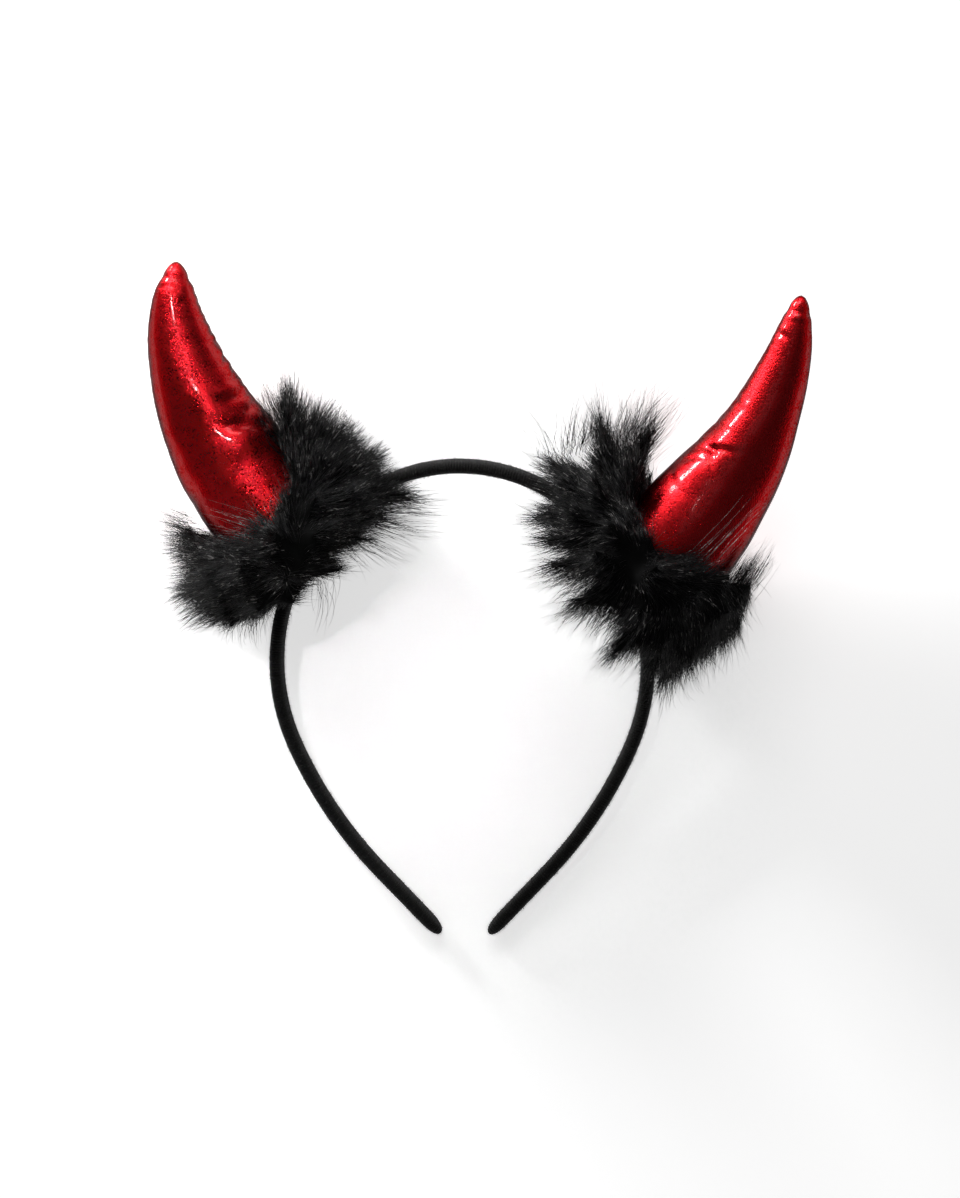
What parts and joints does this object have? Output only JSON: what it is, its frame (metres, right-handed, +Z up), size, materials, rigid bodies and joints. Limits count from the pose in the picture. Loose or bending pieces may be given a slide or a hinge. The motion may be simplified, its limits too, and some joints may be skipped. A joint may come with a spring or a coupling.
{
  "type": "devil horns headband",
  "caption": "Velvet covered headband with stuffed curved foil horns, each set in a long fur collar.",
  "frame": {"origin": "centre of the bounding box, on the surface that the headband lies on", "axes": "+Z up, +Y from the open ends of the hoop to its crown, +X from the left horn to the right horn in the front view"},
  "size_m": [0.2206, 0.2254, 0.0668],
  "materials": {
    "velvet": "short black velvet pile with fine ribs across the band",
    "foil_fabric": "red metallic foil laid on knitted cloth, glossy with a fine grain",
    "fur": "long glossy black synthetic fur"
  },
  "bodies": {
    "root": {"headband": "velvet", "horn_left": "foil_fabric", "horn_right": "foil_fabric", "fur_collar_left": "fur", "fur_collar_right": "fur"}
  },
  "joints": []
}
